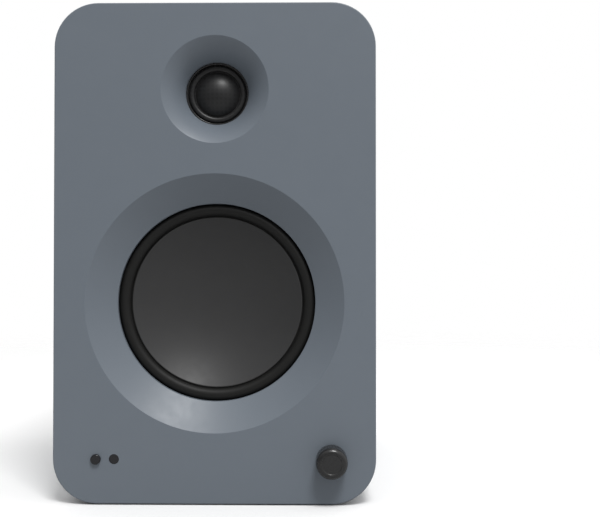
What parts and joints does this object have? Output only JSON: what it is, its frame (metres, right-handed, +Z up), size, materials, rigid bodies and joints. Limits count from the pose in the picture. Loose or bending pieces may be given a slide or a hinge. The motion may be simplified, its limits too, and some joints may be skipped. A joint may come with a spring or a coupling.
{
  "type": "bookshelf speaker",
  "caption": "Powered two-way bookshelf speaker with rounded cabinet, bevelled woofer, waveguide tweeter, volume knob and rear amplifier plate.",
  "frame": {"origin": "centre of the footprint on the surface it stands on", "axes": "+Z up, the front faces -Y, +X towards the side with the volume knob"},
  "size_m": [0.175, 0.2329, 0.2726],
  "materials": {
    "cabinet_paint": "satin blue-grey paint on fibreboard",
    "bare_fibreboard": "raw",
    "wadding": "fluffy",
    "foot_rubber": "matte",
    "cone_composite": "matte woven",
    "black_steel": "satin black",
    "former_film": "amber film",
    "winding": "enamelled wire",
    "spider_cloth": "resin-dipped cloth",
    "plated_steel": "zinc plated",
    "ferrite": "matte",
    "terminal_board": "phenolic",
    "black_screw": "black oxide",
    "black_plastic": "satin",
    "dome_silk": "coated silk",
    "white_plastic": "satin",
    "dark_lens": "dark translucent",
    "circuit_board": "solder mask",
    "bright_pin": "nickel plated",
    "gold_contact": "gold plated",
    "rca_core": "moulded, one colour per channel",
    "red_plastic": "moulded",
    "sink_aluminium": "extruded",
    "lead_sheath": "matte"
  },
  "bodies": {
    "cabinet": {"front_baffle": "cabinet_paint", "cabinet_shell": "cabinet_paint", "rear_panel": "cabinet_paint", "window_brace": "bare_fibreboard", "wadding_pads": "wadding", "rubber_feet": "foot_rubber", "woofer_basket": "black_steel", "woofer_gasket": "foot_rubber", "woofer_surround": "foot_rubber", "woofer_spider": "spider_cloth", "woofer_top_plate": "plated_steel", "woofer_magnet": "ferrite", "woofer_pole_plate": "plated_steel", "driver_terminals": "terminal_board", "woofer_screws": "black_screw", "tweeter_faceplate": "black_plastic", "tweeter_surround": "dome_silk", "tweeter_top_plate": "plated_steel", "tweeter_magnet": "ferrite", "tweeter_pole_plate": "plated_steel", "tweeter_rear_cup": "black_plastic", "tweeter_screws": "black_screw", "encoder_body": "black_plastic", "control_board": "circuit_board", "receiver_lens": "dark_lens", "status_window": "dark_lens", "sensor_board": "circuit_board", "board_screws": "plated_steel", "amp_plate": "black_steel", "amp_plate_screws": "black_screw", "mains_inlet": "black_plastic", "inlet_pins": "bright_pin", "rocker_housing": "black_plastic", "rca_shells": "gold_contact", "rca_cores": "rca_core", "aux_jack": "black_plastic", "optical_socket": "black_plastic", "post_base": "black_plastic", "post_studs": "gold_contact", "bass_port": "black_plastic", "amp_board": "circuit_board", "psu_board": "circuit_board", "board_standoffs": "bright_pin", "heat_sink": "sink_aluminium", "driver_leads": "lead_sheath", "control_leads": "lead_sheath"},
    "woofer_diaphragm": {"woofer_cone": "cone_composite", "woofer_former": "former_film", "woofer_coil": "winding"},
    "tweeter_diaphragm": {"tweeter_dome": "dome_silk", "tweeter_coil": "winding"},
    "knob_press": {"encoder_plunger": "white_plastic"},
    "knob": {"volume_knob": "black_plastic", "encoder_shaft": "plated_steel"},
    "rocker": {"power_rocker": "black_plastic"},
    "shutter": {"optical_shutter": "black_plastic"},
    "red_insert": {"cap_insert_red": "gold_contact"},
    "red_cap": {"post_cap_red": "red_plastic"},
    "black_insert": {"cap_insert_black": "gold_contact"},
    "black_cap": {"post_cap_black": "black_plastic"}
  },
  "joints": [
    {"name": "woofer_travel", "type": "slide", "parent": "cabinet", "child": "woofer_diaphragm", "axis": [0, -1, 0], "range_m": [-0.004, 0.004], "stiffness_N_per_m": 1200, "deforming": ["woofer_surround", "woofer_spider"]},
    {"name": "tweeter_travel", "type": "slide", "parent": "cabinet", "child": "tweeter_diaphragm", "axis": [0, -1, 0], "range_m": [-0.0004, 0.0004], "stiffness_N_per_m": 3000, "deforming": ["tweeter_surround"]},
    {"name": "knob_push", "type": "slide", "parent": "cabinet", "child": "knob_press", "axis": [0, 1, 0], "range_m": [0, 0.0006], "stiffness_N_per_m": 2500, "springref_m": -0.0003},
    {"name": "knob_turn", "type": "hinge", "parent": "knob_press", "child": "knob", "pos_m": [0.0634, -0.104, 0.0247], "axis": [0, -1, 0], "continuous": true},
    {"name": "rocker_tilt", "type": "hinge", "parent": "cabinet", "child": "rocker", "pos_m": [0.036, 0.103, 0.0466], "axis": [-1, 0, 0], "range_deg": [0, 18]},
    {"name": "shutter_swing", "type": "hinge", "parent": "cabinet", "child": "shutter", "pos_m": [-0.014, 0.1043, 0.152], "axis": [-1, 0, 0], "range_deg": [0, 80], "stiffness_Nm_per_rad": 0.0005},
    {"name": "red_cap_rise", "type": "slide", "parent": "cabinet", "child": "red_insert", "axis": [0, 1, 0], "range_m": [0, 0.004]},
    {"name": "red_cap_turn", "type": "hinge", "parent": "red_insert", "child": "red_cap", "pos_m": [0.0095, 0.104, 0.0966], "axis": [0, 1, 0], "range_deg": [0, 1440]},
    {"name": "black_cap_rise", "type": "slide", "parent": "cabinet", "child": "black_insert", "axis": [0, 1, 0], "range_m": [0, 0.004]},
    {"name": "black_cap_turn", "type": "hinge", "parent": "black_insert", "child": "black_cap", "pos_m": [-0.0095, 0.104, 0.0966], "axis": [0, 1, 0], "range_deg": [0, 1440]}
  ],
  "couplings": [
    {"joint": "red_cap_turn", "follows": "red_cap_rise", "rad_per_m": 6283.2},
    {"joint": "black_cap_turn", "follows": "black_cap_rise", "rad_per_m": 6283.2}
  ]
}
